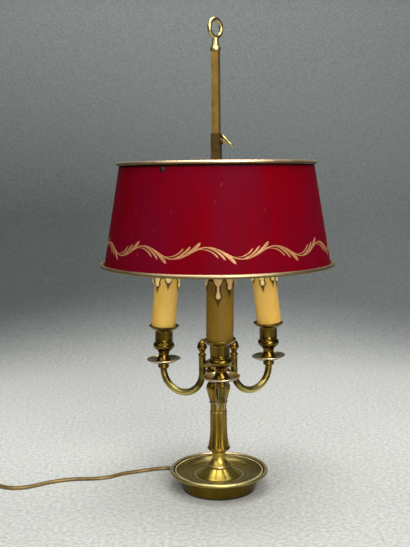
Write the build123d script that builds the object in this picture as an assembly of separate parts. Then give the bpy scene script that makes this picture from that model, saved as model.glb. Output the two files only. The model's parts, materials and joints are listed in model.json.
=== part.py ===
from build123d import *

import os
from math import atan, cos, degrees, pi, radians, sin, sqrt, tan

# Bouillotte table lamp: dished brass foot, turned stem, three U-shaped candle arms, and a tole shade
# that slides on a square rod and is held by a thumb screw.
# Millimetres. Origin at the middle of the foot's underside, +Z up, front arm along -Y.
# A bearing is an angle seen from above: 0 is the front (-Y), +90 the right (+X).

# ---- stations round the lamp ----
# The arms were bent by hand, so the three stations differ by a millimetre or two.
station_bearings = {"front": -0.7, "right": 120.5, "left": -121.0}
station_radius = 72.0
station_lift = {"front": 2.5, "right": -0.3, "left": -1.7}  # above or below the drawn height
station_tilt = {"front": -2.8, "right": -0.5, "left": 1.6}  # pan and cup, + leans to +X
station_lean = {"front": 0.8, "right": -6.4, "left": 5.1}  # candle tubes stand loosely in their cups
station_slip = {"front": 0.7, "right": 1.0, "left": -1.0}  # how far their feet are off the cups' middles
riser_radii = {"front": 22.0, "right": 22.0, "left": 20.3}
bend_heights = {"front": 133.0, "right": 132.3, "left": 132.0}

# ---- foot ----
felt_thickness = 1.5
cover_thickness = 1.2
foot_radius = 42.0
foot_inner_radius = 39.2
dish_floor = 15.0
dish_underside = 12.2
rim_radius = 56.0
rim_height = 20.9
weight_radii = (16.0, 37.0)
lead_slot = 6.0
cord_exit_bearing = -143.0
cord_exit_height = 6.5
cord_exit_reach = 45.0
bush_radius = 3.7

# ---- stem and hub ----
tie_rod_radius = 5.0
tie_rod_bore = 3.75
tie_rod_foot = 8.2
tie_washer = (10.0, 1.0)  # radius, thickness
tie_nut = (7.0, 2.5)  # half its width across the flats, thickness
hub_base = 125.0
tie_rod_head = 130.0
chamber_radius = 7.0
chamber_top = 144.0
splice_base = 134.0
splice_top = 143.0
splice_radius = 4.5
lug_height = 140.8
lug_radius = 2.75
hub_top = 152.0
column_sides = 16
column_sections = [  # height, distance from the axis to a corner
    (44.5, 11.2), (46.0, 12.7), (48.4, 12.3), (55.0, 10.8), (63.0, 9.8), (72.0, 9.5), (88.8, 9.5),
    (89.8, 9.2), (99.4, 9.3), (100.4, 9.9), (104.5, 10.8), (111.0, 12.7), (117.0, 13.5), (120.5, 13.2), (123.0, 11.6),
    (hub_base, 9.4)]

# ---- arms and candle stations ----
tube_radius = 4.0
tube_bore = 3.0
arm_flat = 0.2  # level stretch in the middle of a bend
kink_radius = 20.0
riser_top = 151.5
collar_base = 134.0
pan_base = 140.9
pan_floor = 142.3
cup_floor = 183.0
arm_end = 188.0
lead_radius = 1.3
lead_bend = 2.6
stem_lead_radius = 1.6

# ---- candle tube, holder and bulb, heights from the cup's floor ----
candle_radius = 14.2
candle_inner_radius = 12.7
candle_length = 73.0
candle_lip = 9.5
holder_radius = 12.1
holder_nut = (5.8, 3.0)  # half its width across the flats, thickness
holder_base = 35.2
holder_floor = 42.0
holder_top = 70.0
bulb_cap_radius = 6.9
bulb_radius = 17.5
bulb_widest = 93.0
bulb_tip = 144.0

# ---- rod, slide and finial ----
rod_side = 8.0
rod_turn = -20.0
rod_top = 489.5
spigot_radius = 3.0
spigot_foot = 145.0
finial_thread = (2.0, 8.0)  # radius, depth
slide_side = 10.0
slide_bore = 8.6
slide_foot = 345.0
slide_top = 401.3
screw_height = 393.4
screw_plate_reach = 13.2
screw_plate = (19.0, 9.5, 2.4)  # long way, wide way, thickness
screw_slant = 45.0
ring_height = 513.7
ring_radius = 9.5
ring_section = 2.4
ring_turn = 45.0

# ---- shade ----
shade_top = 368.9
shade_bottom = 258.9
shade_top_radius = 106.4
shade_bottom_radius = 125.0
shade_wall = 1.0
shade_slope = degrees(atan((shade_bottom_radius - shade_top_radius) / (shade_top - shade_bottom)))
top_bead = (107.7, 2.0)  # radius of its ring, radius of its section
bottom_bead = (127.8, 2.2)
spider_bearings = [-33.3, 91.7, 211.7]
spider_height = 362.5
spider_boss = (9.0, 3.5)  # radius, half its height
spider_strip = (8.0, 2.2)  # width, thickness
spider_tab = (10.0, 1.8, 10.0)  # width, thickness, height
spider_gap = 0.3  # room for paint between a tab and the wall
shade_screw_radius = 1.5

# ---- supply cord, laid on the table ----
cord_radius = 2.8
cord_route = [  # from the bush to the hand switch
    (-33.0, 43.8, 6.2), (-41.6, 53.2, 4.4), (-53.0, 59.8, 3.1), (-66.5, 60.4, 2.85),
    (-80.0, 56.6, 2.85), (-97.0, 51.0, 2.85), (-113.0, 45.8, 2.85), (-128.0, 34.8, 2.85),
    (-145.0, 31.0, 2.85), (-164.0, 32.5, 2.85), (-184.0, 29.5, 2.85), (-203.0, 21.0, 2.85),
    (-217.0, 12.0, 2.85), (-229.0, 8.2, 2.85), (-242.0, 9.8, 2.85), (-254.0, 17.0, 2.85),
    (-266.0, 25.0, 3.4), (-278.0, 29.6, 5.4)]
switch_inlet = (-290.0, 30.5)
switch_size = (58.0, 26.0, 15.5)
switch_split = 8.5
entry_height = 6.5
coil_centre = (-386.0, -6.0)
coil_radii = (21.0, 37.5)
coil_height = 14.6
tail_route = [(-359.0, 31.0, 4.4), (-371.0, 30.2, 3.0), (-384.0, 28.6, 2.85)]
plug_inlet = (-344.5, -57.0, 6.85)
plug_route = [(-384.0, -40.8, 11.0), (-374.0, -45.8, 10.4), (-364.5, -53.0, 8.8), (-354.5, -56.8, 7.3)]
plug_size = (36.0, 35.0, 13.7)
pin_spacing = 19.0
pin_radius = 2.0
pin_length = 19.0
rocker_size = (19.0, 9.2, 7.0)
rocker_axis_height = 12.0
rocker_tilt = 8.0


# ---- helpers ----
def write(shape, name):
    export_step(shape, f"parts/{name}.step")


def around(bearing, radius, height):
    """The point at a bearing, a distance from the lamp's axis and a height."""
    return Vector(radius * sin(radians(bearing)), -radius * cos(radians(bearing)), height)


def outline(start, *steps):
    """A closed face in the XZ plane. A step is a point for a straight line, or two points for an arc."""
    edges, here = [], start
    for step in steps:
        if isinstance(step[0], tuple):
            via, there = step
            edges.append(ThreePointArc((here[0], 0, here[1]), (via[0], 0, via[1]), (there[0], 0, there[1])))
        else:
            there = step
            edges.append(Line((here[0], 0, here[1]), (there[0], 0, there[1])))
        here = there
    edges.append(Line((here[0], 0, here[1]), (start[0], 0, start[1])))
    return make_face(edges)


def turned(start, *steps):
    """A solid turned about the lamp's axis from its half section."""
    return revolve(outline(start, *steps), axis=Axis.Z)


def crown(edge, top):
    """The arc step from an edge up to the axis, on a ball centred on the axis."""
    reach, rise = edge[0], top - edge[1]
    radius = (reach ** 2 + rise ** 2) / (2 * rise)
    return (reach / 2, top - radius + sqrt(radius ** 2 - reach ** 2 / 4)), (0, top)


def disc(radius, low, high, bore=0.0):
    """A round plate or bar between two heights, with or without a hole."""
    plate = Pos(0, 0, low) * Cylinder(radius, high - low, align=(Align.CENTER, Align.CENTER, Align.MIN))
    if bore:
        plate -= disc(bore, low - 1, high + 1)
    return plate


def bar(size, low, high):
    """A square bar along the lamp's axis."""
    return Pos(0, 0, low) * Box(size, size, high - low, align=(Align.CENTER, Align.CENTER, Align.MIN))


def radial(radius, start, end, height, bearing=0.0):
    """A round bar that points outwards, from one distance to another."""
    way = around(bearing, 1, 0)
    return Plane(around(bearing, start, height), z_dir=way) * Cylinder(
        radius, end - start, align=(Align.CENTER, Align.CENTER, Align.MIN))


def tube(path, radius):
    return sweep(Plane(path @ 0, z_dir=path % 0) * Circle(radius), path=path)


def corner_radii(points):
    """For each corner of a route, the largest arc that its two runs allow."""
    radii = []
    for before, corner, after in zip(points, points[1:], points[2:]):
        run_in, run_out = Vector(*corner) - Vector(*before), Vector(*after) - Vector(*corner)
        turn = run_in.get_angle(run_out)
        radii.append(0.45 * min(run_in.length, run_out.length) / tan(radians(turn / 2)))
    return radii


def cord_tube(points, name):
    """A cord laid along its route, with its bends and its length printed."""
    radii = corner_radii(points)
    path = FilletPolyline(*points, radius=radii)
    solid = tube(path, cord_radius)
    share = solid.volume / (pi * cord_radius ** 2 * path.length)
    print(f"{name}: {path.length:.0f} mm, bends {[round(r) for r in radii]}, volume/section {share:.3f}")
    return solid


# ---- foot ----
def make_base_dish():
    rim_low = rim_height - 1.9
    dish = turned(
        (tie_rod_radius, dish_floor), (24.8, dish_floor), ((27.1, 15.6), (29.4, dish_floor)),
        (32.6, dish_floor), ((33.5, 15.6), (34.4, dish_floor)), (42.5, dish_floor),
        ((45.9, 16.3), (47.6, 19.6)), ((49.5, 21.0), (51.4, 19.9)), (52.2, 19.7),
        ((53.9, rim_height + 1.9), (rim_radius, rim_height)), ((55.7, 19.6), (54.3, rim_low)),
        ((49.6, 16.9), (45.2, 14.6)), ((43.6, 8.0), (foot_radius, felt_thickness)),
        (foot_inner_radius, felt_thickness), ((40.4, 7.0), (40.6, 10.4)), (39.0, dish_underside),
        (tie_rod_radius, dish_underside))
    return dish - radial(bush_radius, 36, 48, cord_exit_height, cord_exit_bearing)


def make_base_weight():
    low, high = felt_thickness + cover_thickness, dish_underside
    ring = disc(weight_radii[1], low, high, bore=weight_radii[0])
    slot_length = weight_radii[1] + 5
    slot = Pos(0, -slot_length / 2, cord_exit_height) * Box(lead_slot, slot_length, lead_slot)
    return ring - Rot(0, 0, cord_exit_bearing) * slot


def hexagon_nut(size, bore):
    """A nut standing on z 0, from half its width across the flats and its thickness."""
    half_width, thickness = size
    nut = extrude(RegularPolygon(half_width, 6, major_radius=False), thickness)
    return nut - disc(bore, -1, thickness + 1)


def make_tie_washer():
    radius, thickness = tie_washer
    return disc(radius, dish_underside - thickness, dish_underside, bore=tie_rod_radius)


def make_tie_nut():
    return Pos(0, 0, dish_underside - tie_washer[1] - tie_nut[1]) * hexagon_nut(tie_nut, tie_rod_radius)


def make_cord_bush():
    """Bush in the foot wall, a collar inside and a flange outside."""
    way = dict(height=cord_exit_height, bearing=cord_exit_bearing)
    bush = radial(bush_radius, 38.5, 44.0, **way) + radial(bush_radius + 1.1, 43.6, cord_exit_reach, **way)
    return bush - radial(stem_lead_radius, 38, 46, **way) - make_base_dish()


def make_stem_lead():
    """The two cores, from the bush to the axis and up through the tie rod to the splice."""
    start = around(cord_exit_bearing, cord_exit_reach, cord_exit_height)
    points = [start, Vector(0, 0, cord_exit_height), Vector(0, 0, splice_base)]
    return tube(FilletPolyline(*points, radius=4.0), stem_lead_radius)


# ---- stem ----
def make_stem_dome():
    """Flared foot of the stem, which stands on the dish."""
    return turned((tie_rod_radius, dish_floor), (24.3, dish_floor), (24.4, 15.8), ((19.6, 20.1), (13.0, 25.2)),
                  (tie_rod_radius, 25.2))


def make_stem_knop():
    """Flaring ring and neck between the foot and the column."""
    return turned((tie_rod_radius, 25.2), (12.6, 25.2), ((13.9, 26.9), (12.4, 28.4)),
                  ((9.0, 32.5), (7.9, 40.0)), ((8.5, 43.0), (10.4, 44.5)), (tie_rod_radius, 44.5))


def make_stem_column():
    """Faceted baluster."""
    sections = [Pos(0, 0, height) * RegularPolygon(radius, column_sides)
                for height, radius in column_sections]
    low, high = column_sections[0][0], column_sections[-1][0]
    return loft(sections, ruled=True) - disc(tie_rod_radius + 0.4, low - 1, high + 1)


def make_arm_hub():
    """Turned spool that carries the three arms on hollow lugs, with the splice in its chamber."""
    hub = turned(
        (0, hub_base), (9.0, hub_base), ((8.0, 129.0), (11.5, 131.5)), ((13.6, 132.8), (11.9, 134.4)),
        ((14.2, 136.2), (12.0, 138.0)), (9.0, 138.4), (9.0, 143.6), (13.2, 144.4),
        ((14.4, 146.3), (13.0, 148.2)), ((9.5, 149.4), (8.0, hub_top)), (0, hub_top))
    hub -= disc(chamber_radius, tie_rod_head, chamber_top)
    hub -= disc(tie_rod_radius, hub_base - 1, tie_rod_head)
    hub -= disc(spigot_radius, chamber_top, hub_top + 1)
    for name, bearing in station_bearings.items():
        reach = riser_radii[name]
        hub += radial(lug_radius, chamber_radius + 1.5, reach, lug_height, bearing)
        hub -= radial(lead_radius + 0.3, chamber_radius - 1, reach + 1, lug_height, bearing)
        hub -= Pos(*around(bearing, reach, 0)) * disc(tube_radius, 120, 160)
    return hub


# ---- arms ----
def station_place(name, height):
    """Place on the axis of a pan and cup, which kinks a little at the collar, at a drawn height."""
    foot = around(station_bearings[name], station_radius, collar_base + station_lift[name])
    return Pos(*foot) * Rot(0, station_tilt[name], 0) * Pos(0, 0, height - collar_base)


def at_station(shape, name):
    return station_place(name, 0) * shape


def bend_radius(name):
    return (station_radius - riser_radii[name]) / 2


def arm_path(name):
    """Centre line of an arm: down the riser, round the bend and up, with a slight kink at the collar."""
    bearing, inner = station_bearings[name], riser_radii[name]
    low = bend_heights[name] - bend_radius(name)
    bend = bend_radius(name) - arm_flat / 2
    points = [around(bearing, inner, riser_top), around(bearing, inner, low),
              around(bearing, station_radius, low), station_place(name, collar_base).position,
              station_place(name, arm_end).position]
    return FilletPolyline(*points, radius=[bend, bend, kink_radius])


def make_arm(name):
    path, bearing, inner = arm_path(name), station_bearings[name], riser_radii[name]
    arm = tube(path, tube_radius) - tube(path, tube_bore)
    return arm - radial(lead_radius + 0.3, inner - tube_radius - 1, inner, lug_height, bearing)


def make_arm_cap(name):
    """Small turned finial that closes the top of a riser."""
    cap = turned((0, riser_top), (3.9, riser_top), ((4.7, 152.7), (3.9, 154.0)),
                 ((3.1, 155.2), (3.6, 157.0)), (5.3, 160.3), ((6.0, 161.1), (5.5, 161.9)),
                 ((4.9, 165.6), (2.4, 168.9)), (1.2, 171.2), crown((1.2, 171.2), 172.2))
    return Pos(*around(station_bearings[name], riser_radii[name], 0)) * cap


def make_arm_lead(name):
    """Cores from the splice through the lug, down and round the arm, and up to the leaning holder."""
    bearing, inner = station_bearings[name], riser_radii[name]
    low = bend_heights[name] - bend_radius(name)
    points = [around(bearing, splice_radius, lug_height), around(bearing, inner, lug_height),
              around(bearing, inner, low), around(bearing, station_radius, low),
              station_place(name, collar_base).position, station_place(name, arm_end + 4).position,
              (candle_place(name) * Pos(0, 0, holder_base)).position]
    bend = bend_radius(name) - 0.1
    return tube(FilletPolyline(*points, radius=[lead_bend, bend, bend, 1.0, 15.0]), lead_radius)


# ---- candle stations ----
def make_arm_collar(name):
    """Short nut under a pan, a little fuller in the middle."""
    collar = turned((tube_radius, collar_base), (5.3, collar_base), ((6.3, 134.9), (6.4, 136.8)),
                    ((6.3, 139.7), (5.8, pan_base)), (tube_radius, pan_base))
    return at_station(collar, name)


def make_drip_pan():
    return turned((tube_radius, pan_base), (9.6, pan_base), ((15.4, 142.0), (19.0, 144.2)),
                  ((19.8, 145.0), (18.7, 145.5)), ((14.8, 143.2), (9.4, pan_floor)),
                  (tube_radius, pan_floor))


def make_candle_cup():
    """Turned vase: foot, waist, bulb, cylinder and the saucer that the candle tube stands in."""
    return turned(
        (tube_radius, pan_floor), (8.9, pan_floor), ((9.2, 143.2), (8.3, 144.1)),
        ((6.7, 147.6), (6.2, 151.4)), ((7.5, 154.6), (10.1, 156.8)), ((12.4, 161.0), (10.9, 164.6)),
        ((10.0, 165.2), (9.9, 166.0)), (10.5, 166.5), (10.3, 167.4), (10.3, 178.9), (10.9, 179.7),
        ((14.9, 180.9), (17.4, 183.9)), ((17.6, 184.6), (16.9, 184.7)),
        ((16.2, 183.7), (15.4, cup_floor)), (tube_radius, cup_floor))


def candle_place(name):
    """Place of a candle tube's foot, which stands on one edge in its cup and leans."""
    lean = station_lean[name] - station_tilt[name]
    lift = candle_radius * sin(radians(abs(lean)))
    return station_place(name, cup_floor + lift) * Pos(station_slip[name], 0, 0) * Rot(0, lean, 0)


def leaning(shape, name):
    return candle_place(name) * shape


def make_candle_sleeve():
    """Card tube dressed as a candle, with a rolled lip of wax at its top."""
    lip = candle_length - candle_lip
    return turned((candle_inner_radius, 0), (candle_radius, 0), (candle_radius, lip),
                  ((candle_radius + 1.1, lip + 2), (candle_radius + 1.4, lip + 5)),
                  ((candle_radius + 0.6, candle_length - 0.4), (candle_inner_radius + 0.6, candle_length)),
                  (candle_inner_radius, candle_length - 0.6))


def make_holder_nut():
    return Pos(0, 0, cup_floor + 1) * hexagon_nut(holder_nut, tube_radius)


def make_holder_bracket(name):
    """Bent strip between the threaded end of the arm and the lamp holder."""
    foot = disc(8.0, cup_floor, cup_floor + 1, bore=tube_radius)
    strip = Pos(0, -7.3, holder_base / 2 - 1.6) * Box(6.0, 1.2, holder_base + 2.8)
    plate = disc(9.0, holder_base - 1.2, holder_base, bore=lead_radius + 0.6)
    below = disc(20.0, cup_floor - 8, cup_floor)
    return at_station(foot, name) + leaning(strip + plate, name) - at_station(below, name)


def make_lampholder():
    body = disc(holder_radius, holder_base, holder_top)
    body -= disc(bulb_cap_radius + 0.6, holder_floor, holder_top + 1)
    body = chamfer(body.edges().filter_by(GeomType.CIRCLE).sort_by(Axis.Z)[-1], 0.8)
    return body


def make_bulb_cap():
    return disc(2.4, holder_floor, holder_floor + 2) + disc(bulb_cap_radius, holder_floor + 2, holder_top)


def make_bulb_glass():
    """Candle-shaped glass, open where the cap is cemented on."""
    wall = 0.9
    return turned(
        (6.2, holder_top), ((13.8, 80.0), (bulb_radius - wall, bulb_widest)),
        ((14.4, 113.0), (5.6, 132.0)), (0, bulb_tip - 3), (0, bulb_tip), (1.2, bulb_tip - 1.0),
        (6.6, 132.4), ((15.4, 113.2), (bulb_radius, bulb_widest)), ((14.8, 79.6), (7.3, holder_top)))


# ---- rod and finial ----
def make_rod_socket():
    socket = turned((0, hub_top), (7.9, hub_top), (8.2, 153.0), (8.2, 157.4), ((7.6, 159.4), (6.4, 160.4)),
                    (0, 160.4))
    return socket - Rot(0, 0, rod_turn) * bar(rod_side, hub_top - 1, 165)


def make_shade_rod():
    radius, depth = finial_thread
    rod = bar(rod_side, hub_top, rod_top) + disc(spigot_radius, spigot_foot, hub_top)
    rod -= disc(radius, rod_top - depth, rod_top + 1)
    return Rot(0, 0, rod_turn) * rod


def make_ring_finial():
    radius, depth = finial_thread
    shank = turned((0, rod_top), (5.8, rod_top), (6.0, 490.6), (6.0, 492.4), (5.7, 493.2), (5.1, 493.4),
                   ((4.0, 496.6), (3.6, 500.6)), (3.7, 503.0), (0, 503.0))
    shank += disc(radius, rod_top - depth + 0.5, rod_top)
    ring = Pos(0, 0, ring_height) * Rot(90, 0, 0) * Torus(ring_radius, ring_section)
    return Rot(0, 0, ring_turn) * (shank + ring)


# ---- slide ----
screw_bearing = rod_turn + 90.0


def make_slide_sleeve():
    sleeve = bar(slide_side, slide_foot, slide_top) - bar(slide_bore, slide_foot - 1, slide_top + 1)
    sleeve = Rot(0, 0, rod_turn) * sleeve
    boss = radial(4.0, slide_side / 2, 7.4, screw_height, screw_bearing)
    return sleeve + boss - radial(2.2, 3.0, 8.0, screw_height, screw_bearing)


def make_thumb_screw():
    """Screw with an oval plate set aslant on its neck."""
    tip = rod_side / 2 + 0.35
    screw = radial(1.9, tip, 9.0, screw_height) + radial(2.8, 7.8, screw_plate_reach, screw_height)
    plate = Ellipse(screw_plate[0] / 2, screw_plate[1] / 2)
    plate = Rot(0, 0, 90) * extrude(plate, screw_plate[2] / 2, both=True)
    plate = fillet(plate.edges(), 0.9)
    screw += Pos(0, -screw_plate_reach, screw_height) * Rot(screw_slant, 0, 0) * plate
    return Rot(0, 0, screw_bearing) * screw


# ---- shade ----
def shade_radius(height):
    """The outside of the slanting wall at a height."""
    return shade_top_radius + (shade_top - height) * tan(radians(shade_slope))


def make_shade_shell():
    inner_top, inner_bottom = shade_top_radius - shade_wall, shade_bottom_radius - shade_wall
    shell = turned((inner_bottom, shade_bottom), (shade_bottom_radius, shade_bottom),
                   (shade_top_radius, shade_top), (inner_top, shade_top))
    for bearing in spider_bearings:
        shell -= make_shade_screw(bearing)
    return shell


def make_top_rim(shell):
    """Wire bead that closes over the wall's upper edge."""
    return Pos(0, 0, shade_top) * Torus(*top_bead) - shell


def make_bottom_rim(shell):
    """Wire bead that stands out from the wall on a flat fold."""
    inner = shade_bottom_radius - shade_wall
    fold = disc(bottom_bead[0], shade_bottom - 0.6, shade_bottom + 0.6, bore=inner)
    return Pos(0, 0, shade_bottom) * Torus(*bottom_bead) + fold - shell


def make_shade_screw(bearing):
    """Domed screw through the wall into the spider, square to the slanting wall."""
    wall = shade_radius(spider_height)
    head = turned((0, 0), (3.0, 0), crown((3.0, 0), 2.0))
    screw = head + disc(shade_screw_radius, -4.0, 0)
    return Rot(0, 0, bearing) * Pos(0, -wall, spider_height) * Rot(90 - shade_slope, 0, 0) * screw


def make_shade_spider():
    """Boss brazed to the slide, and three strips out to tabs behind the shade's wall."""
    radius, half_height = spider_boss
    spider = disc(radius, spider_height - half_height, spider_height + half_height)
    wall_face = shade_radius(spider_height) - shade_wall - spider_gap
    strip_start, strip_end = radius - 2, wall_face - spider_tab[1] / 2
    for bearing in spider_bearings:
        strip = Box(spider_strip[0], strip_end - strip_start, spider_strip[1])
        strip = Pos(0, -(strip_end + strip_start) / 2, spider_height) * strip
        tab = Rot(-shade_slope, 0, 0) * Pos(0, spider_tab[1] / 2, 0) * Box(*spider_tab)
        tab = Pos(0, -wall_face, spider_height) * tab
        spider += Rot(0, 0, bearing) * (strip + tab)
        spider -= make_shade_screw(bearing)
    return spider - Rot(0, 0, rod_turn) * bar(slide_side, spider_height - 9, spider_height + 9)


# ---- supply cord, switch and plug ----
def switch_block(low, high, inset=0.0):
    """Rounded block of the hand switch between two heights."""
    length, width = switch_size[0] - 2 * inset, switch_size[1] - 2 * inset
    plan = RectangleRounded(length, width, 9.0 - inset)
    middle = (switch_inlet[0] - switch_size[0] / 2, switch_inlet[1])
    return Pos(*middle, low) * extrude(plan, high - low)


def make_switch_body():
    body = switch_block(0, switch_split)
    body = fillet(body.edges().group_by(Axis.Z)[0], 2.0)
    return body - switch_block(2.0, switch_split + 1, inset=2.2)


def rocker_slot():
    middle = (switch_inlet[0] - switch_size[0] / 2, switch_inlet[1])
    return Pos(*middle, switch_size[2]) * Box(rocker_size[0] + 2.6, rocker_size[1] + 1.2, 30)


def make_switch_cover():
    """Upper half, with a slot for the rocker and two ribs that hold its pins."""
    top = switch_size[2]
    cover = switch_block(switch_split, top)
    cover = fillet(cover.edges().group_by(Axis.Z)[-1], 2.4)
    cover -= switch_block(switch_split - 1, top - 2.2, inset=2.2)
    middle = Pos(switch_inlet[0] - switch_size[0] / 2, switch_inlet[1], 0)
    rib = Pos(0, 0, (switch_split + top - 1) / 2) * Box(24.0, 2.4, top - 1 - switch_split)
    for side in (-1, 1):
        cover += middle * Pos(0, side * (rocker_size[1] / 2 + 1.8), 0) * rib
    cover -= rocker_slot()
    cover -= middle * Pos(0, 0, rocker_axis_height) * Rot(90, 0, 0) * Cylinder(1.6, rocker_size[1] + 4.0)
    return cover


def make_switch_rocker():
    """Rocker on two pins, its top a shallow V, lying in its off position."""
    length, width, height = rocker_size
    side = make_face(Polyline((-length / 2, 0, -2.0), (length / 2, 0, -2.0), (length / 2, 0, height - 2.0),
                              (0, 0, height - 3.4), (-length / 2, 0, height - 2.0), close=True))
    rocker = extrude(side, width / 2, both=True)
    rocker += Rot(90, 0, 0) * Cylinder(1.2, width + 3.2)
    place = Pos(switch_inlet[0] - switch_size[0] / 2, switch_inlet[1], rocker_axis_height)
    return place * Rot(0, -rocker_tilt, 0) * rocker


def make_plug_body():
    length, width, height = plug_size
    x, y, _ = plug_inlet
    half = [(0, 5.0), (9, 7.0), (17, width / 2), (length, width / 2)]
    points = [(x + out, y + side) for out, side in half] + [(x + out, y - side) for out, side in half[::-1]]
    body = extrude(make_face(Polyline(*points, close=True)), height)
    body = fillet(body.edges().filter_by(Axis.Z), 2.5)
    ends = body.faces().sort_by(Axis.Z)
    return chamfer(ends[0].edges() + ends[-1].edges(), 0.8)


def make_plug_pins():
    x, y, z = plug_inlet
    pins = []
    for side in (-1, 1):
        start = Plane((x + plug_size[0], y + side * pin_spacing / 2, z), z_dir=(1, 0, 0))
        pin = start * Cylinder(pin_radius, pin_length, align=(Align.CENTER, Align.CENTER, Align.MIN))
        pins.append(chamfer(pin.edges().sort_by(Axis.X)[-1], 0.8))
    return Compound(pins)


def make_cord_coil():
    ring = disc(coil_radii[1], 0, coil_height, bore=coil_radii[0])
    return Pos(*coil_centre, 0) * ring


def main():
    os.makedirs("parts", exist_ok=True)
    cover_top = felt_thickness + cover_thickness
    write(disc(foot_radius - 0.4, 0, felt_thickness), "base_felt")
    write(disc(foot_inner_radius, felt_thickness, cover_top), "base_cover")
    write(make_base_weight(), "base_weight")
    write(make_base_dish(), "base_dish")
    write(make_cord_bush(), "cord_bush")
    write(make_tie_washer(), "tie_washer")
    write(make_tie_nut(), "tie_nut")
    write(disc(tie_rod_radius, tie_rod_foot, tie_rod_head, bore=tie_rod_bore), "tie_rod")
    write(make_stem_lead(), "stem_lead")

    write(make_stem_dome(), "stem_dome")
    write(make_stem_knop(), "stem_knop")
    write(make_stem_column(), "stem_column")
    write(make_arm_hub(), "arm_hub")
    write(disc(splice_radius, splice_base, splice_top), "splice_block")

    collars, nuts, brackets, caps, leads = [], [], [], [], []
    for name in station_bearings:
        write(make_arm(name), f"arm_{name}")
        write(make_arm_cap(name), f"arm_cap_{name}")
        write(at_station(make_drip_pan(), name), f"drip_pan_{name}")
        write(at_station(make_candle_cup(), name), f"candle_cup_{name}")
        write(leaning(make_lampholder(), name), f"lampholder_{name}")
        write(leaning(make_candle_sleeve(), name), f"candle_sleeve_{name}")
        write(leaning(make_bulb_glass(), name), f"bulb_glass_{name}")
        leads.append(make_arm_lead(name))
        collars.append(make_arm_collar(name))
        nuts.append(at_station(make_holder_nut(), name))
        brackets.append(make_holder_bracket(name))
        caps.append(leaning(make_bulb_cap(), name))
    write(Compound(leads), "arm_leads")
    write(Compound(collars), "arm_collars")
    write(Compound(nuts), "holder_nuts")
    write(Compound(brackets), "holder_brackets")
    write(Compound(caps), "bulb_caps")

    write(make_rod_socket(), "rod_socket")
    write(make_shade_rod(), "shade_rod")
    write(make_ring_finial(), "ring_finial")
    write(make_slide_sleeve(), "slide_sleeve")
    write(make_thumb_screw(), "thumb_screw")

    shell = make_shade_shell()
    write(shell, "shade_shell")
    write(make_top_rim(shell), "shade_top_rim")
    write(make_bottom_rim(shell), "shade_bottom_rim")
    write(make_shade_spider(), "shade_spider")
    write(Compound([make_shade_screw(bearing) for bearing in spider_bearings]), "shade_screws")

    exit_point = tuple(around(cord_exit_bearing, cord_exit_reach, cord_exit_height))
    inlet = (*switch_inlet, entry_height)
    outlet = (switch_inlet[0] - switch_size[0], switch_inlet[1], entry_height)
    coil, body, plug = make_cord_coil(), make_switch_body(), make_plug_body()
    lead_cord = cord_tube([exit_point, *cord_route, inlet], "supply_cord")
    write(lead_cord - make_cord_bush() - make_stem_lead() - body, "supply_cord")
    write(cord_tube([outlet, *tail_route], "cord_tail") - coil - body, "cord_tail")
    write(cord_tube([*plug_route, plug_inlet], "plug_lead") - coil - plug, "plug_lead")
    write(coil, "cord_coil")
    write(body, "switch_body")
    write(make_switch_cover(), "switch_cover")
    write(make_switch_rocker(), "switch_rocker")
    write(plug, "plug_body")
    write(make_plug_pins(), "plug_pins")


main()
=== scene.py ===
import json
import math

import bmesh
import bpy
from mathutils import Matrix, Vector


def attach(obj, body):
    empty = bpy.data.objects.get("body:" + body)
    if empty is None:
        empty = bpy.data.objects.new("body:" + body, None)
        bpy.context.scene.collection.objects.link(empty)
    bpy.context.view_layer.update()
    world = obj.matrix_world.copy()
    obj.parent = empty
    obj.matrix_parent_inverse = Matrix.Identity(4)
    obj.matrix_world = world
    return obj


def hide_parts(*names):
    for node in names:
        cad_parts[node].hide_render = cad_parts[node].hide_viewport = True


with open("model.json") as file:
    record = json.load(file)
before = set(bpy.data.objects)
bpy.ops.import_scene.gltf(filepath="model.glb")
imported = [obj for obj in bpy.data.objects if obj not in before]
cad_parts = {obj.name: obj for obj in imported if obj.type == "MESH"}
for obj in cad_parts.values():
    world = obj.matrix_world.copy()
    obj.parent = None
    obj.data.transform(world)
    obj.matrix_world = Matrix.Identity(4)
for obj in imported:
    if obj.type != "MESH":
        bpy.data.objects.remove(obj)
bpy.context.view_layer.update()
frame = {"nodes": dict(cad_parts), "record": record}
nodes = frame["nodes"]
scene = bpy.context.scene
mm = 0.001
arcStep = 8  # degrees between the points of an arc
crispAngle = 50  # an edge between faces that turn by more degrees stays crisp


# Small tools

def colour(code):  # sRGB hex to the linear values that the nodes take
    parts = [int(code[i:i + 2], 16) / 255 for i in (1, 3, 5)]
    return [p / 12.92 if p <= 0.04045 else ((p + 0.055) / 1.055) ** 2.4 for p in parts] + [1.0]


# Inputs map a socket's name or number to a value or to another node's socket
def setInputs(tree, node, inputs):
    for key, value in inputs.items():
        if isinstance(value, bpy.types.NodeSocket):
            tree.links.new(value, node.inputs[key])
        else:
            node.inputs[key].default_value = value


def addNode(tree, kind, inputs=None, **settings):
    node = tree.nodes.new(kind)
    for name, value in settings.items():
        setattr(node, name, value)
    setInputs(tree, node, inputs or {})
    return node


def maths(tree, operation, a, b=0.0):
    return addNode(tree, "ShaderNodeMath", {0: a, 1: b}, operation=operation).outputs[0]


def span(tree, value, fromLow, fromHigh, low=0.0, high=1.0, **settings):
    return addNode(tree, "ShaderNodeMapRange", {
        "Value": value, "From Min": fromLow, "From Max": fromHigh, "To Min": low, "To Max": high},
        **settings).outputs[0]


def around(bearing, radius, height):  # a point in millimetres; bearing 0 is the front, 90 the right
    turn = math.radians(bearing)
    return Vector((radius * math.sin(turn), -radius * math.cos(turn), height))


def smooth(value, low, high):  # 0 at low, 1 at high, with soft ends
    share = min(1.0, max(0.0, (value - low) / (high - low)))
    return share * share * (3 - 2 * share)


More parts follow.
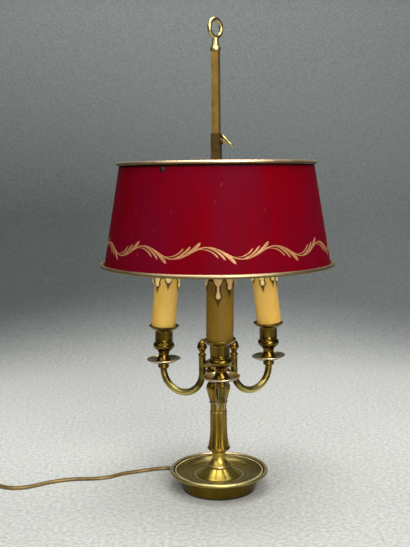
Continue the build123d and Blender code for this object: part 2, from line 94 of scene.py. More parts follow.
def meshObject(name, points, faces, *materials, edges=()):  # points in millimetres
    mesh = bpy.data.meshes.new(name)
    mesh.from_pydata([Vector(p) * mm for p in points], list(edges), faces)
    mesh.shade_smooth()
    for material in materials:
        mesh.materials.append(material)
    piece = bpy.data.objects.new(name, mesh)
    scene.collection.objects.link(piece)
    return piece


def cleaned(piece):  # joins doubled points, turns faces outwards, keeps real corners crisp
    shape = bmesh.new()
    shape.from_mesh(piece.data)
    bmesh.ops.remove_doubles(shape, verts=shape.verts, dist=1e-6)
    bmesh.ops.dissolve_degenerate(shape, edges=shape.edges, dist=1e-7)
    bmesh.ops.recalc_face_normals(shape, faces=shape.faces)
    shape.to_mesh(piece.data)
    shape.free()
    piece.data.shade_smooth()
    piece.data.set_sharp_from_angle(angle=math.radians(crispAngle))
    return piece


def placed(piece, place):  # moves the mesh, not the object; place is in millimetres
    inMetres = place.copy()
    inMetres.translation *= mm
    piece.data.transform(inMetres)
    return piece


def markWearAndHighlight(piece, *bands):  # marks metal as pale, partly rubbed wear and partly painted highlight; a band is its two radii, its two heights and how much
    mark = piece.data.attributes.new("wearAndHighlight", "FLOAT", "POINT")
    for vertex in piece.data.vertices:
        reach, height = math.hypot(vertex.co.x, vertex.co.y) / mm, vertex.co.z / mm
        for inner, outer, low, high, amount in bands:
            if inner <= reach <= outer and low <= height <= high:
                mark.data[vertex.index].value = amount
    return piece


def finishPiece(piece, body, slot, *replaced):
    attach(piece, body)
    if replaced:
        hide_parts(*replaced)
    return piece


def arcPoints(start, via, end):  # the points after the start of an arc through three points
    toVia, toEnd = via - start, end - start
    cross = toVia.x * toEnd.y - toVia.y * toEnd.x
    centre = start + Vector((toEnd.y * toVia.length_squared - toVia.y * toEnd.length_squared,
                             toVia.x * toEnd.length_squared - toEnd.x * toVia.length_squared)) / (2 * cross)
    first, last = start - centre, end - centre
    sweep = math.atan2(first.x * last.y - first.y * last.x, first.dot(last)) % (2 * math.pi)
    if cross < 0:
        sweep -= 2 * math.pi
    count = max(3, math.ceil(abs(sweep) / math.radians(arcStep)))
    return [centre + Matrix.Rotation(sweep * i / count, 2) @ first for i in range(1, count + 1)]


def section(start, *steps):  # a half section: a step is a point for a line, or two points for an arc
    points = [Vector(start)]
    for step in steps:
        if isinstance(step[0], tuple):
            points += arcPoints(points[-1], Vector(step[0]), Vector(step[1]))
        else:
            points.append(Vector(step))
    return points


def eased(points, reach, grain=100.0):  # takes the sharp edge off the corners and divides long runs
    result = [points[0]]
    for before, corner, after in zip(points, points[1:], points[2:]):
        runIn, runOut = corner - before, after - corner
        if runIn.length < 1e-6 or runOut.length < 1e-6 or runIn.angle(runOut) < math.radians(30):
            result.append(corner)
            continue
        left = corner - runIn.normalized() * min(reach, runIn.length * 0.4)
        right = corner + runOut.normalized() * min(reach, runOut.length * 0.4)
        result += [left, (left + right + corner * 2) / 4, right]
    result.append(points[-1])
    divided = [result[0]]
    for a, b in zip(result, result[1:]):
        parts = max(1, math.ceil((b - a).length / grain))
        divided += [a.lerp(b, i / parts) for i in range(1, parts + 1)]
    return divided


# Faces between rows of points that lie side by side; closed joins the ends of each row
def skin(rows, across, closed=True):
    return [(i * across + j, i * across + k, (i + 1) * across + k, (i + 1) * across + j)
            for i in range(rows - 1) for j in range(across if closed else across - 1)
            for k in [(j + 1) % across]]


def lathe(name, points, material, count=96):  # turns a half section about the upright axis
    rings, places, faces = [], [], []
    for radius, height in points:
        size = 1 if radius < 1e-6 else count
        rings.append(range(len(places), len(places) + size))
        places += [around(360 * i / count, radius, height) for i in range(size)]
    for low, high in zip(rings, rings[1:]):
        for i in range(count):
            j = (i + 1) % count
            corners = [low[i % len(low)], low[j % len(low)], high[j % len(high)], high[i % len(high)]]
            faces.append(list(dict.fromkeys(corners)))
    return cleaned(meshObject(name, places, faces, material))


# Geometry Nodes that several pieces use

def newNodes(name, **sockets):
    tree = bpy.data.node_groups.new(name, "GeometryNodeTree")
    tree.interface.new_socket("Geometry", in_out="INPUT", socket_type="NodeSocketGeometry")
    tree.interface.new_socket("Geometry", in_out="OUTPUT", socket_type="NodeSocketGeometry")
    for label, kind in sockets.items():
        tree.interface.new_socket(label, in_out="INPUT", socket_type=kind)
    return tree, tree.nodes.new("NodeGroupInput").outputs


def closeNodes(tree, geometry):
    addNode(tree, "NodeGroupOutput", {"Geometry": geometry})
    return tree


def applied(piece, tree, **values):  # runs the nodes on a piece and keeps their plain mesh
    modifier = piece.modifiers.new(tree.name, "NODES")
    modifier.node_group = tree
    for item in tree.interface.items_tree:
        if item.in_out == "INPUT" and item.name in values:
            modifier[item.identifier] = values[item.name]
    graph = bpy.context.evaluated_depsgraph_get()
    mesh = bpy.data.meshes.new_from_object(piece.evaluated_get(graph), depsgraph=graph)
    piece.modifiers.clear()
    piece.data = mesh
    return cleaned(piece)


def fluteNodes():  # presses grooves into a turned piece: Rounded is 0 for hollow flutes, 1 for swelling lobes
    number = "NodeSocketFloat"
    tree, given = newNodes("flutes", Count=number, Depth=number, Low=number, High=number, Fade=number,
                           Rounded=number)
    place = addNode(tree, "GeometryNodeInputPosition").outputs[0]
    x, y, z = addNode(tree, "ShaderNodeSeparateXYZ", {0: place}).outputs
    turn = maths(tree, "MULTIPLY", maths(tree, "ARCTAN2", y, x), maths(tree, "MULTIPLY", given["Count"], 0.5))
    wave = maths(tree, "ABSOLUTE", maths(tree, "SINE", turn))
    dip = maths(tree, "ABSOLUTE", maths(tree, "SUBTRACT", given["Rounded"], wave))
    ends = [span(tree, z, given[end], maths(tree, inward, given[end], given["Fade"]),
                 interpolation_type="SMOOTHSTEP") for end, inward in (("Low", "ADD"), ("High", "SUBTRACT"))]
    push = maths(tree, "MULTIPLY", maths(tree, "MULTIPLY", dip, maths(tree, "MULTIPLY", *ends)),
                 maths(tree, "MULTIPLY", given["Depth"], -1.0))
    outward = addNode(tree, "ShaderNodeVectorMath", {0: addNode(
        tree, "ShaderNodeCombineXYZ", {"X": x, "Y": y}).outputs[0]}, operation="NORMALIZE").outputs[0]
    offset = addNode(tree, "ShaderNodeVectorMath", {0: outward, "Scale": push}, operation="SCALE").outputs[0]
    moved = addNode(tree, "GeometryNodeSetPosition", {"Geometry": given["Geometry"], "Offset": offset})
    return closeNodes(tree, moved.outputs[0])


def tubeNodes():  # a round bar along a line of points
    tree, given = newNodes("tube", Radius="NodeSocketFloat", Sides="NodeSocketInt",
                           Finish="NodeSocketMaterial")
    line = addNode(tree, "GeometryNodeMeshToCurve", {"Mesh": given["Geometry"]}).outputs[0]
    ring = addNode(tree, "GeometryNodeCurvePrimitiveCircle", {
        "Resolution": given["Sides"], "Radius": given["Radius"]}, mode="RADIUS").outputs[0]
    bar = addNode(tree, "GeometryNodeCurveToMesh", {"Curve": line, "Profile Curve": ring, "Fill Caps": True})
    coated = addNode(tree, "GeometryNodeSetMaterial", {
        "Geometry": bar.outputs[0], "Material": given["Finish"]})
    return closeNodes(tree, coated.outputs[0])


def ringNodes():  # copies of a motif, turned about the upright axis
    tree, given = newNodes("ringOfCopies", Count="NodeSocketInt", Finish="NodeSocketMaterial")
    points = addNode(tree, "GeometryNodePoints", {"Count": given["Count"]}).outputs[0]
    index = addNode(tree, "GeometryNodeInputIndex").outputs[0]
    turn = maths(tree, "MULTIPLY", maths(tree, "DIVIDE", index, given["Count"]), 2 * math.pi)
    spin = addNode(tree, "FunctionNodeEulerToRotation", {0: addNode(
        tree, "ShaderNodeCombineXYZ", {"Z": turn}).outputs[0]}).outputs[0]
    copies = addNode(tree, "GeometryNodeInstanceOnPoints", {
        "Points": points, "Instance": given["Geometry"], "Rotation": spin}).outputs[0]
    real = addNode(tree, "GeometryNodeRealizeInstances", {"Geometry": copies}).outputs[0]
    coated = addNode(tree, "GeometryNodeSetMaterial", {"Geometry": real, "Material": given["Finish"]})
    return closeNodes(tree, coated.outputs[0])


flutes, tubes, copies = fluteNodes(), tubeNodes(), ringNodes()


def fluted(piece, count, depth, low, high, fade, rounded):  # lengths in millimetres
    return applied(piece, flutes, Count=count, Depth=depth * mm, Low=low * mm, High=high * mm,
                   Fade=fade * mm, Rounded=rounded)


# Materials

def newMaterial(name):
    material = bpy.data.materials.new(name)
    material.use_nodes = True
    tree = material.node_tree
    place = addNode(tree, "ShaderNodeTexCoord").outputs["Object"]
    return material, tree, tree.nodes["Principled BSDF"], place


def noise(tree, place, size, detail=3.0, stretch=(1, 1, 1)):  # size of a blotch in millimetres
    scaled = addNode(tree, "ShaderNodeMapping", {"Vector": place, "Scale": stretch}).outputs[0]
    return addNode(tree, "ShaderNodeTexNoise", {
        "Vector": scaled, "Scale": 1000 / size, "Detail": detail, "Roughness": 0.55}).outputs["Fac"]


def blend(tree, share, first, second):  # the colours are codes or sockets
    sides = {6: first, 7: second}
    sides = {key: colour(value) if isinstance(value, str) else value for key, value in sides.items()}
    return addNode(tree, "ShaderNodeMix", {0: share, **sides}, data_type="RGBA").outputs[2]


def bump(tree, height, depth, strength=1.0):  # depth in millimetres
    return addNode(tree, "ShaderNodeBump", {
        "Height": height, "Distance": depth * mm, "Strength": strength}).outputs[0]


def attribute(tree, name):
    return addNode(tree, "ShaderNodeAttribute", attribute_name=name).outputs["Fac"]


def fromAxis(tree, place):  # the three parts of a place, and how far it is from the upright axis
    parts = addNode(tree, "ShaderNodeSeparateXYZ", {0: place}).outputs
    flat = addNode(tree, "ShaderNodeCombineXYZ", {"X": parts["X"], "Y": parts["Y"]}).outputs[0]
    return parts, addNode(tree, "ShaderNodeVectorMath", {0: flat}, operation="LENGTH").outputs["Value"]


metal = {  # sizes in millimetres, and the noise or shelter between which a mark fades in
    "patch": (0.38, 0.68), "shelter": (0.8, 0.35), "shelterSamples": 8, "dirtAndShade": 0.9, "dirtRough": 0.25,
    "smear": 7.0, "smearFade": (0.3, 0.7), "dent": 6.0, "dentDetail": 2.0, "bump": 0.4}


# Old brass under a worn lacquer: a smooth sheen, brown tarnish in soft blotches, dirt with painted shade in
# the sheltered places, and pale places, partly rubbed wear and partly painted highlight, where a piece
# carries the attribute for them
def metalMaterial(name, bright, tarnish, dirtAndShade, shine=(0.17, 0.28), tarnished=0.6, reach=3.5,
                  wornAndHighlit="#dcc8a2", turning=0.0, blotch=20.0, stretch=(1, 1, 1), relief=0.03):
    material, tree, shader, place = newMaterial(name)
    patches = span(tree, noise(tree, place, blotch, stretch=stretch), *metal["patch"], 0.0, tarnished)
    # ambient occlusion: the sheltered places darken with dirt and painted shade
    shelter = addNode(tree, "ShaderNodeAmbientOcclusion", {"Distance": reach * mm},
                      samples=metal["shelterSamples"]).outputs["AO"]
    sheltered = span(tree, shelter, *metal["shelter"], 0.0, metal["dirtAndShade"])
    surface = blend(tree, sheltered, blend(tree, patches, bright, tarnish), dirtAndShade)
    rough = maths(tree, "ADD", span(tree, noise(tree, place, metal["smear"]), *metal["smearFade"], *shine),
                  span(tree, sheltered, 0, 1, 0.0, metal["dirtRough"]))
    dents = noise(tree, place, metal["dent"], metal["dentDetail"])
    if turning:  # fine rings that the lathe left, this wide in millimetres
        parts, out = fromAxis(tree, place)
        rings = addNode(tree, "ShaderNodeCombineXYZ", {"X": out, "Z": parts["Z"]}).outputs[0]
        dents = noise(tree, rings, turning, metal["dentDetail"])
    # the pale colour goes where a piece is marked: rubbed wear with painted highlight
    setInputs(tree, shader, {
        "Base Color": blend(tree, attribute(tree, "wearAndHighlight"), surface, wornAndHighlit), "Roughness": rough,
        "Metallic": 1.0, "Normal": bump(tree, dents, relief, metal["bump"])})
    return material


enamel = {
    "base": "#70000c", "streak": "#66020e", "patch": "#63051a", "scratch": "#a04440", "paintedRimShadow": "#16070a",
    "streakSize": 11.0, "patchSize": 60.0, "scratchSize": 2.6, "scratched": 0.45, "rough": (0.5, 0.42),
    "gloss": 0.01, "relief": 0.08}


# Japanned paint on tinplate: deep red with soft upright streaks from the brush, a few fine scratches and a
# painted shadow under the top rim
def paintMaterial():
    material, tree, shader, place = newMaterial("redTolePaint")
    streaks = span(tree, noise(tree, place, enamel["streakSize"], stretch=(1, 1, 0.05)), 0.35, 0.7)
    patches = span(tree, noise(tree, place, enamel["patchSize"], 2.0, (1, 1, 0.25)), 0.42, 0.66)
    scratches = span(tree, noise(tree, place, enamel["scratchSize"], 1.0, (1, 1, 0.2)), 0.755, 0.79, 0.0,
                     enamel["scratched"])
    surface = blend(tree, patches, blend(tree, streaks, enamel["base"], enamel["streak"]), enamel["patch"])
    surface = blend(tree, scratches, surface, enamel["scratch"])
    # a painted shadow darkens the paint just under the top rim
    setInputs(tree, shader, {
        "Base Color": blend(tree, attribute(tree, "paintedRimShadow"), surface, enamel["paintedRimShadow"]),
        "Roughness": span(tree, streaks, 0, 1, *enamel["rough"]), "Specular IOR Level": enamel["gloss"],
        "Normal": bump(tree, streaks, enamel["relief"], 0.4)})
    return material


# Wax poured over card: matt and a little clear, cream on the drips, and brown beside and under them, a stain
# with painted shadow
def waxMaterial(name, light, deep, fresh, brownStainAndShadow="#321600"):
    material, tree, shader, place = newMaterial(name)
    cloud = span(tree, noise(tree, place, 18.0, stretch=(1, 1, 0.4)), 0.35, 0.7)
    uneven = span(tree, noise(tree, place, 2.5), 0.25, 0.5, 0.8, 1.0)
    surface = blend(tree, attribute(tree, "drip"), blend(tree, cloud, light, deep), fresh)
    setInputs(tree, shader, {
        "Base Color": blend(tree, maths(tree, "MULTIPLY", attribute(tree, "stainAndShadow"), uneven), surface, brownStainAndShadow),
        "Roughness": span(tree, cloud, 0, 1, 0.4, 0.5), "Specular IOR Level": 0.15,
        "Subsurface Weight": 0.1, "Subsurface Radius": (0.004, 0.002, 0.001),
        "Normal": bump(tree, noise(tree, place, 3.5, 2.0), 0.08, 0.4)})
    return material


# Cast, plated, moulded or painted parts: an even tone with faint clouds and a soft sheen
def plainMaterial(name, light, deep, size, rough=(0.4, 0.55), metallic=0.0, relief=0.05):
    material, tree, shader, place = newMaterial(name)
    cloud = span(tree, noise(tree, place, size), 0.35, 0.65)
    setInputs(tree, shader, {
        "Base Color": blend(tree, cloud, light, deep), "Roughness": span(tree, cloud, 0, 1, *rough),
        "Metallic": metallic, "Normal": bump(tree, noise(tree, place, size / 5), relief, 0.4)})
    return material


# Clear plastic over stranded copper: a gold gleam, browner in soft clouds
def flexMaterial():
    material, tree, shader, place = newMaterial("goldFlex")
    cloud = span(tree, noise(tree, place, 12.0), 0.3, 0.7)
    setInputs(tree, shader, {
        "Base Color": blend(tree, cloud, "#8e7238", "#584420"), "Roughness": 0.3, "Metallic": 0.4,
        "Normal": bump(tree, noise(tree, place, 1.2), 0.04, 0.4)})
    return material


# Pressed wool felt: dull dark green, with a little fuzz at its edge
def feltMaterial():
    material, tree, shader, place = newMaterial("greenFelt")
    fibres = noise(tree, place, 0.5, 4.0)
    setInputs(tree, shader, {
        "Base Color": blend(tree, fibres, "#10170f", "#1c2719"), "Roughness": 0.95, "Sheen Weight": 0.1,
        "Normal": bump(tree, fibres, 0.3)})
    return material


brass = metalMaterial("patinatedBrass", "#ab8e3e", "#6e5826", "#251c0a")
petalBrass = metalMaterial("brightPetalBrass", "#ccb254", "#8a7030", "#3a2e10", (0.3, 0.4), 0.45)
columnBrass = metalMaterial("streakedColumnBrass", "#97792e", "#563c12", "#1c1407", (0.24, 0.36), 0.9,
                            wornAndHighlit="#c8a878", blotch=4.5, stretch=(1, 1, 0.1))
armBrass = metalMaterial("darkArmBrass", "#857430", "#3a2f10", "#141005", (0.26, 0.38), 0.9,
                         wornAndHighlit="#dccb7c", blotch=8.0, relief=0.01)
turnedBrass = metalMaterial("turnedDishBrass", "#ae9c50", "#6e6238", "#2b230f", (0.28, 0.42), 0.6,
                            wornAndHighlit="#f0e2a6", turning=1.3)
# a darker copy of the brass for the dish's outer wall: painted shade
shadedWallBrass = metalMaterial("shadedFootBrass", "#7c6620", "#4c3a12", "#1c1406", (0.26, 0.36), 0.7)
beadBrass = metalMaterial("rubbedBeadBrass", "#d8c290", "#a48e58", "#4a3c1c", (0.3, 0.42), 0.4, reach=1.2)
cupBrass = metalMaterial("darkCastBrass", "#806628", "#3c2a0e", "#120c05", (0.2, 0.26), 0.75,
                         wornAndHighlit="#ded0aa", blotch=4.0, stretch=(1, 1, 0.12), relief=0.0)
handledBrass = metalMaterial("handledBrass", "#d2c084", "#a08c50", "#3c3014", (0.26, 0.36), 0.4, reach=2.0,
                             relief=0.004)
rodBrass = metalMaterial("ochreRodBrass", "#b48e46", "#8d6a32", "#3a2812", (0.34, 0.46), 0.6)
darkBrass = metalMaterial("darkSlideBrass", "#6e5a34", "#52431f", "#1a1408", (0.35, 0.5), 0.6)
gilt = metalMaterial("giltRim", "#7c6a40", "#5e4f2c", "#2c2412", (0.36, 0.46), 0.45, wornAndHighlit="#e8c8a0")
leafGilt = plainMaterial("giltPaint", "#bd8858", "#a37446", 5.0, (0.45, 0.6), 0.3)
paint = paintMaterial()
cream = plainMaterial("creamPaint", "#e6dcc2", "#dccfae", 20.0, (0.5, 0.6))
wax = waxMaterial("yellowWax", "#eac062", "#dcac4c", "#ffe49e")
# the front candle gets a darker copy of the yellow wax
darkerFrontWax = waxMaterial("darkerFrontWax", "#7c5f1a", "#664b12", "#d6b076")
slotMaterials = {
    "patinated_brass": brass, "rod_brass": rodBrass, "dark_brass": darkBrass, "gilt_rim": gilt,
    "red_tole": paint, "candle_card": wax, "gold_flex": flexMaterial(), "felt": feltMaterial(),
    "phenolic": plainMaterial("blackPhenolic", "#1c1613", "#2a201a", 5.0, (0.3, 0.4)),
    "opal_glass": plainMaterial("opalGlass", "#f2efe6", "#ebe6d8", 30.0, (0.15, 0.2)),
    "nickel": plainMaterial("nickelPlate", "#c9c6be", "#b5b1a8", 4.0, (0.22, 0.32), 1.0),
    "steel": plainMaterial("zincedSteel", "#a9a8a4", "#8d8c88", 6.0, (0.35, 0.5), 1.0),
    "cast_iron": plainMaterial("castIron", "#3a3836", "#4a4643", 3.0, (0.6, 0.8), 0.8, 0.3),
    "core_insulation": plainMaterial("coreInsulation", "#d9d4c8", "#c9c2b2", 6.0),
    "brown_plastic": plainMaterial("brownPlastic", "#3b2415", "#48301d", 10.0, (0.28, 0.38)),
    "cream_plastic": plainMaterial("creamPlastic", "#d8c9a4", "#cfbd94", 10.0, (0.3, 0.4)),
}
for record in frame["record"]["subparts"]:
    for slot in nodes[record["node"]].material_slots:
        slot.material = slotMaterials[record["material_slot"]]
nodes["shade_screws"].material_slots[0].material = plainMaterial(
    "blackenedScrew", "#1c1b18", "#2a2620", 2.0, (0.3, 0.45), 0.6)
nodes["thumb_screw"].material_slots[0].material = handledBrass
print("materials done")


# Camera, lamps and backdrop

cameraPlace = {"location": (-0.05829, -0.90939, 0.3558), "turn": -2.8, "pitch": 6.7934, "roll": -0.5775,
               "lens": 54.1, "sensor": 36.0}


def makeCamera():
    lens = bpy.data.cameras.new("camera")
    lens.lens = cameraPlace["lens"]
    lens.sensor_width = cameraPlace["sensor"]
    camera = bpy.data.objects.new("camera", lens)
    camera.matrix_world = (
        Matrix.Translation(cameraPlace["location"])
        @ Matrix.Rotation(math.radians(cameraPlace["turn"]), 4, "Z")
        @ Matrix.Rotation(math.radians(90 - cameraPlace["pitch"]), 4, "X")
        @ Matrix.Rotation(math.radians(cameraPlace["roll"]), 4, "Z"))
    scene.collection.objects.link(camera)
    scene.camera = camera


lamps = [  # name, place, aim, size in metres, watts
    ("softboxLeft", (-0.9, -0.9, 1.3), (0, 0, 0.2), (1.2, 1.2), 7),
    ("softboxKey", (0.5, -1.35, 1.0), (0, 0, 0.15), (0.9, 0.7), 16),
    ("softboxFront", (0.25, -2.1, 0.5), (0, 0, 0.2), (1.0, 0.6), 15),
    ("softboxTop", (0.05, -0.1, 1.6), (0, 0, 0.1), (1.2, 1.2), 28),
]
world = {"colour": "#8c8f90", "strength": 0.25}


def makeLamps():
    for name, place, aim, size, watts in lamps:
        light = bpy.data.lights.new(name, "AREA")
        light.shape = "RECTANGLE"
        light.size, light.size_y = size
        light.energy = watts
        lamp = bpy.data.objects.new(name, light)
        lamp.location = place
        lamp.rotation_euler = (Vector(aim) - Vector(place)).to_track_quat("-Z", "Y").to_euler()
        scene.collection.objects.link(lamp)
    studio = bpy.data.worlds.new("studio")
    studio.use_nodes = True
    studio.node_tree.nodes["Background"].inputs["Color"].default_value = colour(world["colour"])
    studio.node_tree.nodes["Background"].inputs["Strength"].default_value = world["strength"]
    scene.world = studio


backdrop = {  # a sweep of paper with painted light: a pale pool round the lamp, painted falloff to grey further away, darker towards the front, lighter to the right and lighter again up the wall
    "front": -1800, "flat": 620, "bend": 1100, "top": 2600, "width": 2600,  # millimetres
    "fade": (0.56, 1.1), "rise": (0.25, 0.85), "nearing": (0.12, -0.06), "across": (-0.3, 0.5),  # metres
    "pale": "#c2c3be", "near": "#b4b5b0", "grey": "#5a5f5e", "greyRight": "#707574", "high": "#979b99",
    "grain": 4.5, "speck": 0.84, "rough": 0.85, "gloss": 0.2}


def makeBackdrop():
    material, tree, shader, place = newMaterial("studioPaper")
    parts, away = fromAxis(tree, place)
    # the pale pool, the falloff to grey and the lighter and darker sides are painted light
    far = span(tree, away, *backdrop["fade"], interpolation_type="SMOOTHSTEP")
    high = span(tree, parts["Z"], *backdrop["rise"])
    pale = blend(tree, span(tree, parts["Y"], *backdrop["nearing"]), backdrop["pale"], backdrop["near"])
    grey = blend(tree, span(tree, parts["X"], *backdrop["across"]), backdrop["grey"], backdrop["greyRight"])
    surface = blend(tree, far, pale, blend(tree, high, grey, backdrop["high"]))
    specks = span(tree, noise(tree, place, backdrop["grain"]), 0.35, 0.65, backdrop["speck"],
                  2 - backdrop["speck"])
    surface = addNode(tree, "ShaderNodeVectorMath", {0: surface, "Scale": specks}, operation="SCALE")
    setInputs(tree, shader, {"Base Color": surface.outputs[0], "Roughness": backdrop["rough"],
                             "Specular IOR Level": backdrop["gloss"]})
    # A camera behind the paper looks through it, and the light still falls as if it were whole
    behind = maths(tree, "MULTIPLY", addNode(tree, "ShaderNodeNewGeometry").outputs["Backfacing"],
                   addNode(tree, "ShaderNodeLightPath").outputs["Is Camera Ray"])
    clear = addNode(tree, "ShaderNodeBsdfTransparent").outputs[0]
    sides = addNode(tree, "ShaderNodeMixShader", {0: behind, 1: shader.outputs[0], 2: clear})
    setInputs(tree, tree.nodes["Material Output"], {"Surface": sides.outputs[0]})
    flat, bend, half = backdrop["flat"], backdrop["bend"], backdrop["width"]
    line = [(backdrop["front"], 0), (flat, 0)]
    line += [(flat + bend * math.sin(turn), bend - bend * math.cos(turn))
             for turn in (math.radians(6 * i) for i in range(1, 16))]
    line.append((flat + bend, backdrop["top"]))
    points = [(side * half, y, z) for y, z in line for side in (-1, 1)]
    meshObject("studioBackdrop", points, skin(len(line), 2, closed=False), material)


makeCamera()
makeLamps()
makeBackdrop()
scene.view_settings.view_transform = "Standard"
print("camera, lamps and backdrop done")


# Supply cord

cord = {
    "length": 1.8, "width": 5.6, "core": 1.7, "split": 1.1, "lie": 1.75,
    "exit": (-27.08, 35.94, 6.5),
    "toSwitch": [
        (-33.0, 43.8, 6.2), (-41.6, 53.2, 3.9), (-53.0, 59.8, 2.1), (-66.5, 60.4, 1.75),
        (-80.0, 56.6, 1.75), (-97.0, 51.0, 1.75), (-113.0, 45.8, 1.75), (-128.0, 34.8, 1.75),
        (-145.0, 31.0, 1.75), (-164.0, 32.5, 1.75), (-184.0, 29.5, 1.75), (-203.0, 21.0, 1.75),
        (-217.0, 12.0, 1.75), (-229.0, 8.2, 1.75), (-242.0, 9.8, 1.75), (-254.0, 17.0, 1.75),
        (-266.0, 25.0, 2.6), (-278.0, 29.6, 5.0)],
    "inSwitch": [(-290.0, 30.5, 6.5), (-319.0, 30.5, 6.5), (-348.0, 30.5, 6.5)],
    "toCoil": [(-359.0, 31.0, 4.0), (-371.0, 30.2, 2.2)],
    "toPlug": [(-374.0, -45.8, 11.2), (-364.5, -53.0, 9.2), (-354.5, -56.8, 7.3), (-344.5, -57.0, 6.85)],
    "centre": (-386.0, -6.0), "outer": 34.5, "inner": 24.0, "layers": 4, "layer": 3.65, "turns": 7.5,
    "pointsPerTurn": 14,
}


def coilRoute():  # turns that wind in, up one layer and out again, rising at each change of layer
    steps = round(cord["turns"] * cord["pointsPerTurn"])
    points = []
    for i in range(steps + 1):
        through = cord["layers"] * i / steps
        level = min(int(through), cord["layers"] - 1)
        inward = through - level if level % 2 == 0 else 1 - (through - level)
        radius = cord["outer"] + (cord["inner"] - cord["outer"]) * inward
        climb = level - 1 + smooth(through - level, 0, 0.25) if level else 0
        turn = math.radians(90 + 360 * cord["turns"] * i / steps)
        points.append((cord["centre"][0] + radius * math.cos(turn),
                       cord["centre"][1] + radius * math.sin(turn), cord["lie"] + cord["layer"] * climb))
    return points


def cordPath():  # the points of the smooth line that the route controls, in metres
    route = [cord["exit"], *cord["toSwitch"], *cord["inSwitch"], *cord["toCoil"], *coilRoute(),
             *cord["toPlug"]]
    line = bpy.data.curves.new("cordLine", "CURVE")
    line.dimensions = "3D"
    line.resolution_u = 5
    spline = line.splines.new("NURBS")
    spline.points.add(len(route) - 1)
    for point, place in zip(spline.points, route):
        point.co = (*[value * mm for value in place], 1)
    spline.order_u = 3
    spline.use_endpoint_u = True
    holder = bpy.data.objects.new("cordLine", line)
    scene.collection.objects.link(holder)
    graph = bpy.context.evaluated_depsgraph_get()
    mesh = bpy.data.meshes.new_from_object(holder.evaluated_get(graph), depsgraph=graph)
    path = [vertex.co.copy() for vertex in mesh.vertices]
    bpy.data.objects.remove(holder)
    return path


def makeCord():
    path = cordPath()
    core, split = cord["core"], cord["split"]
    opening = math.pi - math.acos(split / core)  # half the angle that one core's rounded side covers
    side = [(split + core * math.cos(turn), core * math.sin(turn))
            for turn in (opening * (i / 4 - 1) for i in range(9))]
    ring = side + [(-x, -z) for x, z in side]
    points = []
    for i, place in enumerate(path):
        along = (path[min(i + 1, len(path) - 1)] - path[max(i - 1, 0)]).normalized()
        side = along.cross(Vector((0, 0, 1))).normalized()
        up = side.cross(along)
        points += [place / mm + side * x + up * z for x, z in ring]
    size = len(ring)
    faces = skin(len(path), size) + [tuple(range(size)), tuple(range(len(points) - size, len(points)))]
    piece = cleaned(meshObject("supply_flex", points, faces, slotMaterials["gold_flex"]))
    tie = makeCordTie()
    finishPiece(piece, "root", "gold_flex", "supply_cord", "cord_tail", "plug_lead", "cord_coil")


tie = {"width": 5.0, "thickness": 0.7, "inner": 21.0, "outer": 37.6, "top": 15.0, "foot": 0.05,
       "lowest": 0.03, "corner": 4, "bearing": 200.0}


def makeCordTie():  # a strap round the coil's turns, from inside the coil over the top and down outside
    inner, outer, top, low = tie["inner"], tie["outer"], tie["top"], tie["foot"]
    loop = eased(section((outer, low), (outer, top), (inner, top), (inner, low), (outer, low)), tie["corner"])
    bearing = math.radians(tie["bearing"])
    way = Vector((math.cos(bearing), math.sin(bearing), 0))
    across = Vector((-way.y, way.x, 0))
    middle = Vector(((inner + outer) / 2, top / 2))
    centre = Vector((*cord["centre"], 0))
    points = []
    for point in loop:
        outward = (point - middle).normalized() * tie["thickness"]
        for reach, side in ((0, -1), (0, 1), (1, 1), (1, -1)):
            spot = point + outward * reach
            points.append(centre + way * spot.x + Vector((0, 0, max(spot.y, tie["lowest"])))
                          + across * side * tie["width"] / 2)
    strap = meshObject("cord_tie", points, skin(len(loop), 4), slotMaterials["brown_plastic"])
    return finishPiece(cleaned(strap), "root", "brown_plastic")


makeCord()
print("cord done")


# Foot

foot = {
    "dish": [  # a half section, in which a pair of points makes an arc
        (5.0, 15.0), (24.8, 15.0), ((27.1, 15.6), (29.4, 15.0)), (32.6, 15.0), ((33.5, 15.6), (34.4, 15.0)),
        (42.5, 15.0), ((45.9, 16.3), (47.6, 19.6)), (48.0, 20.0), ((49.5, 19.5), (51.0, 20.2)), (52.2, 19.8),
        ((53.9, 22.8), (56.0, 20.9)), ((55.7, 19.6), (54.3, 19.0)), ((49.6, 16.9), (45.2, 14.6)),
        ((43.6, 8.0), (42.0, 1.5)), (39.2, 1.5), ((40.4, 7.0), (40.6, 10.4)), (39.0, 12.2), (5.0, 12.2),
        (5.0, 15.0)],
    "wallTop": 14.4, "wallInside": 41.6,  # the outer wall, darker with painted shade, is below and beyond these
    # pale bands on the floor rings, the slope and the rim's top: painted highlight with some wear
    "wornAndHighlit": [(25.6, 28.8, 14.9, 16.0, 0.5), (32.9, 34.1, 15.1, 16.0, 0.5),
               (44.5, 48.2, 15.8, 20.2, 0.22), (52.0, 55.6, 21.0, 23.0, 1.0)],
    "beads": 146, "beadRadius": 1.12, "beadRing": 49.5, "beadHeight": 20.55,
}


def makeFoot():
    dish = lathe("foot_dish", eased(section(*foot["dish"]), 0.4, 2.0), turnedBrass, 160)
    dish.data.materials.append(shadedWallBrass)
    # the outer wall below the rim takes the darker brass as painted shade
    for polygon in dish.data.polygons:
        x, y, z = polygon.center
        if z < foot["wallTop"] * mm and math.hypot(x, y) > foot["wallInside"] * mm:
            polygon.material_index = 1
    markWearAndHighlight(dish, *foot["wornAndHighlit"])
    finishPiece(dish, "root", "patinated_brass", "base_dish")
    shape = bmesh.new()
    spot = Matrix.Translation(around(0, foot["beadRing"], foot["beadHeight"]) * mm)
    bmesh.ops.create_icosphere(shape, subdivisions=2, radius=foot["beadRadius"] * mm, matrix=spot)
    beads = meshObject("foot_beads", [], [])
    shape.to_mesh(beads.data)
    shape.free()
    applied(beads, copies, Count=foot["beads"], Finish=beadBrass)
    finishPiece(beads, "root", "patinated_brass")


